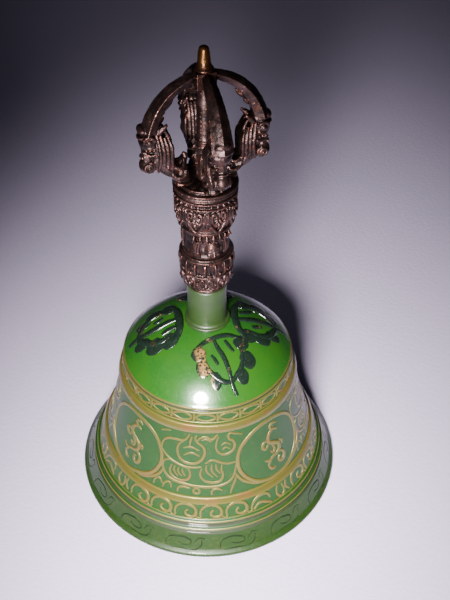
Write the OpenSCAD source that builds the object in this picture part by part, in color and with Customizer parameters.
// Hand bell with a half-vajra handle.
// The lip stands on z = 0 and the axis is Z. The four outer prongs lie along +X, +Y, -X and -Y.
// A tie rod clamps the cup, the neck sleeve and the three handle castings together,
// and its lower eye carries the link and the clapper.

/* [Cup] */
// Outer radius of the lip
rim_r = 45; // [37:0.5:55]
// Height of the shoulder edge above the lip
shoulder_h = 53.4; // [44:0.1:65]
// Outer radius of the shoulder edge
shoulder_r = 26.8; // [22:0.1:33]
// Rise of the crown's dome above the shoulder edge
dome_rise = 12.9; // [10.5:0.1:15.5]
// Wall of the waist and the crown
cup_wall = 3; // [2.4:0.1:3.7]
// Wall of the lip, where the clapper strikes nearest
lip_wall = 3.8; // [3.1:0.1:4.6]
// Share of the waist's flare that is straight, the rest being the curve of the skirt
flare_straight = 0.58; // [0.48:0.01:0.7]
// Power of the skirt's curve
flare_power = 3.2; // [2.6:0.1:3.9]
// Thickness of the crown under the neck
crown_wall = 3.6; // [3:0.1:4.4]
// Height that the mouldings stand out of the wall
moulding_out = 0.6; // [0.4:0.05:0.8]

/* [Neck] */
// Outer radius of the neck sleeve
neck_r = 6; // [5:0.1:7.2]
// Height of the neck sleeve, its collar included
neck_h = 15; // [12:0.1:18]
// Radius of the collar at the sleeve's foot
collar_r = 7.1; // [6.2:0.1:8.2]
// Height of the collar
collar_h = 1.1; // [0.8:0.1:1.6]

/* [Handle] */
// Largest radius of the vase casting
vase_r = 8.2; // [7.6:0.1:9.8]
// Height of the vase casting
vase_h = 14; // [11.6:0.1:17]
// Radius of the drum that carries the face
drum_r = 7.3; // [6.5:0.1:8.6]
// Height of the drum
drum_h = 9; // [7.5:0.1:11]
// Radius of the lotus cup's upper rim
lotus_r = 9.1; // [8.3:0.1:11]
// Height of the lotus cup
lotus_h = 14; // [12:0.1:17]

/* [Cage] */
// Outer radius of the cage of prongs
cage_r = 18; // [15:0.1:21.6]
// Height of the cage's widest point above the lotus cup
cage_mid = 12.4; // [11:0.1:14.9]
// Height from the cage's widest point to the top of the prongs
cage_rise = 20; // [16.6:0.1:24]
// Radial thickness of a prong at the widest point
prong_thick = 4.2; // [3.5:0.1:5]
// Thickness of a prong at the top
prong_tip_thick = 2.5; // [2:0.1:3]
// Width of a prong across its flanks
prong_wide = 6.2; // [5.1:0.1:7.4]
// Radius of the centre prong
centre_r = 2.3; // [1.8:0.1:2.8]
// Half width of the spike's square block, which the prongs meet
block_half = 2.6; // [2.1:0.1:3.1]
// Height of the spike's block
block_h = 4.4; // [3.6:0.1:5.3]
// Height of the spike above its block
spike_h = 6.3; // [5.3:0.1:7.6]
// Radius of the spike's top
spike_top_r = 1.3; // [1:0.1:1.6]

/* [Tie rod] */
// Radius of the tie rod
rod_r = 2; // [1.6:0.1:2.4]
// Gap round the rod in each piece that it passes freely; it is screwed into the nut and the cup
rod_gap = 0.15; // [0.1:0.01:0.3]
// How far the rod reaches into the lotus cup
rod_grip = 8.5; // [7:0.1:10]
// Washer's outer radius
washer_r = 5.6; // [4.6:0.1:6.5]
// Washer's thickness
washer_h = 1; // [0.8:0.1:1.5]
// Nut's width across its flats
nut_flats = 7; // [6:0.1:8.4]
// Nut's height
nut_h = 3.2; // [2.6:0.1:3.9]
// Bare rod between the nut and the eye
rod_tail = 1.2; // [1:0.1:2]
// Radius of the eye's wire
eye_wire = 1; // [0.85:0.05:1.2]
// Radius of the eye's hole
eye_hole = 2.6; // [2.2:0.1:3.1]

/* [Clapper] */
// Radius of the link's wire
link_wire = 0.8; // [0.65:0.05:0.95]
// Radius of the link's inner opening
link_hole = 3.6; // [3.3:0.1:4.3]
// Gap between pieces that hang on each other
hang_gap = 0.12; // [0.08:0.01:0.2]
// Radius of the clapper rod
clapper_rod_r = 1.4; // [1.2:0.1:1.7]
// Radius of the clapper's eye hole
clapper_hole = 1.7; // [1.4:0.1:2.1]
// Radius of the clapper's ball
ball_r = 7; // [5.8:0.1:8.4]
// Height of the ball above the surface that the bell stands on
ball_clear = 3.4; // [2.9:0.1:5]

/* [Hidden] */
$fn = 96;
HEX = 6;
SMALL_FN = 20;

// Heights of the stack, from the lip up
seat_drop = 0.7;
apex_z = shoulder_h + dome_rise;
seat_z = apex_z - seat_drop;
inner_seat_z = seat_z - crown_wall;
vase_z = seat_z + neck_h;
drum_z = vase_z + vase_h;
lotus_z = drum_z + drum_h;
cage_z = lotus_z + lotus_h;
mid_z = cage_z + cage_mid;
join_z = mid_z + cage_rise;
block_z = join_z - block_h;
bore_r = rod_r + rod_gap;

// The cup's wall
dome_r = (pow(shoulder_r, 2) + pow(dome_rise, 2)) / (2 * dome_rise);
dome_z = apex_z - dome_r;
lip_edge_h = 1.6;
lip_round = 1;
boss_r = washer_r + 0.9;
boss_slope = 0.8;
ease = 0.3;
flare = function(t) flare_straight * t + (1 - flare_straight) * pow(max(t, 0), flare_power);
wall_r = function(z) shoulder_r + (rim_r - shoulder_r) * flare(1 - z / shoulder_h);
inner_r = function(z) wall_r(z) - cup_wall - (lip_wall - cup_wall) * pow(max(1 - z / shoulder_h, 0), 4);

// Mouldings, each [height as a share of the shoulder's, half height]
lower_bead = [0.168, 0.45];
skirt_bead = [0.212, 0.55];
waist_band = [0.35, 1.2];
upper_band = [0.858, 1.5];
edge_bead_r = 0.7;
edge_bead_in = 0.3;
edge_bead_drop = 0.6;
bead_sink = 0.1;

function wall_points(z0, z1, n) = [for (i = [0:n]) let(z = z0 + (z1 - z0) * i / n) [wall_r(z), z]];
function round_bead(bead) = let(z = bead[0] * shoulder_h) [for (a = [-90:22.5:90])
  [wall_r(z) - bead_sink + (moulding_out + bead_sink) * cos(a), z + bead[1] * sin(a)]];
function flat_band(band) = let(z = band[0] * shoulder_h, half = band[1], flat = half - ease) [
  [wall_r(z - half), z - half], [wall_r(z - half) + moulding_out, z - flat],
  [wall_r(z + half) + moulding_out, z + flat], [wall_r(z + half), z + half]
];
function wall_between(low, high, n) = wall_points(
  low[0] * shoulder_h + low[1] + ease, high[0] * shoulder_h - high[1] - ease, n);
function dome_points(radius, r0, r1, n) =
  [for (i = [0:n]) let(r = r0 + (r1 - r0) * i / n) [r, dome_z + sqrt(radius * radius - r * r)]];

module bell_cup() {
  seat_r = sqrt(pow(dome_r, 2) - pow(seat_z - dome_z, 2));
  inside_r = dome_r - cup_wall;
  corner_r = wall_r(shoulder_h - cup_wall) - cup_wall;
  corner_z = dome_z + sqrt(inside_r * inside_r - corner_r * corner_r) - ease;
  lip_z = 3;
  edge_z = shoulder_h - edge_bead_drop;
  outline = concat(
    [[rim_r - lip_wall, 0], [rim_r - lip_round, 0]],
    [for (a = [-60:30:60]) [rim_r - lip_round * (1 - cos(a)), lip_edge_h / 2 * (1 + sin(a) / sin(60))]],
    wall_points(lip_edge_h + 2 * ease, lower_bead[0] * shoulder_h - lower_bead[1], 6),
    round_bead(lower_bead),
    round_bead(skirt_bead),
    wall_between(skirt_bead, waist_band, 5),
    flat_band(waist_band),
    wall_between(waist_band, upper_band, 14),
    flat_band(upper_band),
    wall_points(upper_band[0] * shoulder_h + upper_band[1] + ease, edge_z - edge_bead_r - ease, 2),
    [for (a = [-90:22.5:67.5])
      [shoulder_r - edge_bead_in + edge_bead_r * cos(a), edge_z + edge_bead_r * sin(a)]],
    dome_points(dome_r, shoulder_r - 2 * edge_bead_in, seat_r, 14),
    [[bore_r, seat_z], [bore_r, inner_seat_z], [boss_r, inner_seat_z]],
    dome_points(inside_r, boss_r + boss_slope, corner_r, 10),
    [for (i = [0:16]) let(z = corner_z + (lip_z - corner_z) * i / 16) [inner_r(z), z]]
  );
  color("forestgreen") rotate_extrude() polygon(outline);
}

// A turned piece: an outline of [radius, height] points closed on the tie rod's bore
module turned(points, z0, z1) {
  rotate_extrude() polygon(concat([[bore_r, z0]], points, [[bore_r, z1]]));
}

module neck_sleeve() {
  fillet = 0.9;
  collar_top = seat_z + collar_h;
  color("mediumseagreen") turned(concat(
    [[collar_r - ease, seat_z], [collar_r, seat_z + ease], [collar_r, collar_top - ease],
      [collar_r - ease, collar_top]],
    [for (a = [270:-22.5:180]) [neck_r + fillet * (1 + cos(a)), collar_top + fillet * (1 + sin(a))]],
    [[neck_r, vase_z]]
  ), seat_z, vase_z);
}

// Radii of the vase at shares of its height, as shares of its largest radius
vase_shape = [[0, 0.68], [0.02, 0.72], [0.1, 0.72], [0.12, 0.66], [0.2, 0.82], [0.34, 0.94],
  [0.52, 1], [0.72, 0.99], [0.84, 0.97], [0.9, 0.99], [0.97, 0.97], [1, 0.9]];

module handle_vase() {
  color("sienna") turned([for (p = vase_shape) [p[1] * vase_r, vase_z + p[0] * vase_h]], vase_z, drum_z);
}

// Depth of the drum's hollow waist at shares of its height
drum_shape = [[0, 0], [0.13, 0.35], [0.5, 0.45], [0.87, 0.3], [1, 0]];
cheek_r = 2.75;
chin_r = 2.2;
face_sink = 1.9;

module face_drum() {
  color("sienna") {
    turned([for (p = drum_shape) [drum_r - p[1], drum_z + p[0] * drum_h]], drum_z, lotus_z);
    // The face, a low oval that stands out of the drum towards -Y
    hull() {
      translate([0, face_sink - drum_r, drum_z + 0.44 * drum_h]) sphere(r = cheek_r, $fn = SMALL_FN);
      translate([0, face_sink - drum_r, drum_z + 0.3 * drum_h]) sphere(r = chin_r, $fn = SMALL_FN);
    }
  }
}

// Radii of the lotus cup at shares of its height, as shares of its rim's radius
lotus_shape = [[0, 0.8], [0.05, 0.86], [0.12, 0.86], [0.16, 0.82], [0.3, 0.88], [0.48, 0.94],
  [0.62, 0.98], [0.7, 0.96], [0.74, 1], [0.84, 1], [0.88, 0.97], [0.92, 1], [0.98, 1], [1, 0.97]];
centre_tenon = 3;
centre_tenon_r = 1.5;
tenon_gap = 0.05;

module lotus_cup() {
  color("saddlebrown") difference() {
    rotate_extrude() polygon(concat([[0, lotus_z]],
      [for (p = lotus_shape) [p[1] * lotus_r, lotus_z + p[0] * lotus_h]], [[0, cage_z]]));
    translate([0, 0, lotus_z - 1]) cylinder(r = rod_r, h = rod_grip + 1 + rod_gap);
    translate([0, 0, cage_z - centre_tenon - tenon_gap])
      cylinder(r = centre_tenon_r + tenon_gap, h = centre_tenon + 1);
  }
}

// One prong's blade lies between two ellipses about the cage's widest point. Its section has a
// ridge outside, flanks that are widest at flank_depth, and a narrower flat inside.
flank_depth = 0.42;
inside_share = 0.67;
top_narrowing = 0.42;
function outer_edge(a) = [cage_r * cos(a), mid_z + cage_rise * sin(a)];
function inner_edge(a) =
  [(cage_r - prong_thick) * cos(a), mid_z + (cage_rise - prong_tip_thick) * sin(a)];
function blade_half(a) = prong_wide / 2 * (1 - top_narrowing * pow(sin(a), 2));
function blade_ring(a) =
  let(o = outer_edge(a), i = inner_edge(a), s = o + (i - o) * flank_depth)
  let(w = blade_half(a), v = w * inside_share)
  [[o[0], 0, o[1]], [s[0], w, s[1]], [i[0], v, i[1]], [i[0], -v, i[1]], [s[0], -w, s[1]]];

// A closed skin over rings of points, each with the same number of points
module skin(rings) {
  n = len(rings[0]);
  m = len(rings);
  polyhedron(
    points = [for (ring = rings) each ring],
    faces = concat(
      [[for (j = [0:n - 1]) j]],
      [for (i = [0:m - 2], j = [0:n - 1]) each [
        [i * n + j, (i + 1) * n + j, i * n + (j + 1) % n],
        [i * n + (j + 1) % n, (i + 1) * n + j, (i + 1) * n + (j + 1) % n]]],
      [[for (j = [n - 1:-1:0]) (m - 1) * n + j]]
    )
  );
}

module ball_at(r, z, size, side = 0) {
  translate([r, side, z]) sphere(r = size, $fn = SMALL_FN);
}

// Places on a head, each as a share of the cage's radius and of the widest point's height
function head_r(share) = cage_r * share;
function head_z(share) = cage_z + cage_mid * share;
head_foot_half = 1.7;
head_foot_h = 0.8;
spur_a = 40;
spur_reach = 1.7;

module head_ball(r_share, z_share, size, side = 0) {
  ball_at(head_r(r_share), head_z(z_share), size, side);
}

module beast_head() {
  // Neck, from a small foot on the lotus cup
  hull() {
    translate([head_r(0.2), -head_foot_half, cage_z])
      cube([head_r(0.24), 2 * head_foot_half, head_foot_h]);
    head_ball(0.58, 0.66, 2.6);
  }
  // Skull and the jaw that the blade rises out of
  hull() {
    head_ball(0.58, 0.66, 2.6);
    head_ball(0.79, 1.1, 3.5);
  }
  hull() {
    head_ball(0.79, 1.1, 3.5);
    head_ball(0.82, 1.4, 2.6);
  }
  // The snout's curl, low on the outside
  hull() {
    head_ball(0.76, 0.74, 2.4);
    head_ball(0.85, 0.6, 2.2);
  }
  // Mane, towards the axis
  hull() {
    head_ball(0.7, 1.1, 2.4);
    head_ball(0.5, 0.98, 1.7);
  }
  // Horns
  for (side = [-1, 1]) hull() {
    head_ball(0.74, 1.4, 1.3, side * 1.6);
    head_ball(0.65, 1.58, 0.7, side * 1.9);
  }
}

// A thorn on the blade's inner edge
module spur() {
  root = inner_edge(spur_a);
  hull() {
    ball_at(root[0] + 0.5, root[1], 1.1);
    ball_at(root[0] - spur_reach, root[1] + 0.5, 0.4);
  }
}

module outer_prong(turn) {
  start_a = 3;
  bend_out = 1.4;
  end_share = 0.8;
  top_a = acos((block_half + bend_out) / (cage_r - prong_thick));
  top_end = [for (p = blade_ring(90)) [block_half, p[1] * end_share, p[2]]];
  color("peru") rotate([0, 0, turn]) union() {
    skin(concat([for (i = [0:14]) blade_ring(start_a + (top_a - start_a) * i / 14)], [top_end]));
    beast_head();
    spur();
  }
}

spike_tenon = 2.2;
spike_tenon_r = 1.2;
tenon_root = 0.5;

module centre_prong() {
  height = block_z - cage_z;
  shape = [[0, 1.2], [0.05, 1.2], [0.08, 0.95], [0.3, 1], [0.36, 1.15], [0.44, 1.15],
    [0.5, 1], [0.8, 0.92], [0.93, 0.8], [1, 0.8]];
  color("sienna") {
    rotate_extrude() polygon(concat([[0, cage_z]],
      [for (p = shape) [p[1] * centre_r, cage_z + p[0] * height]], [[0, block_z]]));
    translate([0, 0, cage_z - centre_tenon]) cylinder(r = centre_tenon_r, h = centre_tenon + tenon_root);
    translate([0, 0, block_z - tenon_root]) cylinder(r = spike_tenon_r, h = spike_tenon + tenon_root);
  }
}

module tip_spike() {
  foot_r = block_half * 0.92;
  core_r = block_half * 0.8;
  core_z = join_z - block_h / 4;
  top_round = spike_top_r * 0.7;
  tip_z = join_z + spike_h;
  color("goldenrod") difference() {
    union() {
      translate([-block_half, -block_half, block_z]) cube([2 * block_half, 2 * block_half, block_h]);
      rotate_extrude() polygon(concat(
        [[0, core_z], [core_r, core_z], [core_r, join_z], [foot_r, join_z], [foot_r, join_z + ease]],
        [for (a = [0:22.5:90]) [spike_top_r * cos(a), tip_z - top_round * (1 - sin(a))]]
      ));
    }
    translate([0, 0, block_z - 1]) cylinder(r = spike_tenon_r + tenon_gap, h = spike_tenon + 1 + tenon_gap);
  }
}

// The tie rod hangs in the crown: washer, nut and eye follow each other down
nut_z = inner_seat_z - washer_h - nut_h;
eye_ring = eye_hole + eye_wire;
eye_z = nut_z - rod_tail - eye_ring;

// A wire ring about Y, its centre at height z
module wire_ring(ring, wire, z) {
  translate([0, 0, z]) rotate([90, 0, 0]) rotate_extrude() translate([ring, 0]) circle(r = wire);
}

module tie_rod() {
  rod_foot = eye_z + eye_ring - eye_wire * 0.4;
  color("silver") union() {
    wire_ring(eye_ring, eye_wire, eye_z);
    translate([0, 0, rod_foot]) cylinder(r = rod_r, h = lotus_z + rod_grip - rod_foot);
  }
}

module crown_washer() {
  color("silver") translate([0, 0, inner_seat_z - washer_h]) difference() {
    cylinder(r = washer_r, h = washer_h);
    translate([0, 0, -1]) cylinder(r = bore_r, h = washer_h + 2);
  }
}

module crown_nut() {
  color("gainsboro") translate([0, 0, nut_z]) difference() {
    cylinder(r = nut_flats / sqrt(3), h = nut_h, $fn = HEX);
    translate([0, 0, -1]) cylinder(r = rod_r, h = nut_h + 2);
  }
}

// The link rests in the eye, and the clapper's eye rests in the link
link_ring = link_hole + link_wire;
link_top_z = eye_z - eye_hole + link_wire + hang_gap;
link_z = link_top_z - link_ring;
swing_z = link_z - link_ring;
clapper_wire = clapper_rod_r * 0.75;
clapper_ring = clapper_hole + clapper_wire;
clapper_eye_z = swing_z + link_wire + hang_gap - clapper_hole;
ball_z = ball_clear + ball_r;

module clapper_link() {
  color("lightgray") rotate([0, 0, 90]) wire_ring(link_ring, link_wire, link_z);
}

module clapper_rod() {
  rivet_out = 0.6;
  rod_foot = ball_z - ball_r - rivet_out;
  rod_top = clapper_eye_z - clapper_ring + clapper_wire * 0.4;
  color("dimgray") union() {
    wire_ring(clapper_ring, clapper_wire, clapper_eye_z);
    translate([0, 0, rod_foot]) cylinder(r = clapper_rod_r, h = rod_top - rod_foot);
  }
}

module clapper_ball() {
  color("darkgoldenrod") translate([0, 0, ball_z]) difference() {
    sphere(r = ball_r);
    translate([0, 0, -ball_r - 1]) cylinder(r = clapper_rod_r, h = 2 * ball_r + 2);
  }
}

bell_cup();
neck_sleeve();
handle_vase();
face_drum();
lotus_cup();
for (i = [1:4]) outer_prong((i - 1) * 90);
centre_prong();
tip_spike();
tie_rod();
crown_washer();
crown_nut();
clapper_link();
clapper_rod();
clapper_ball();
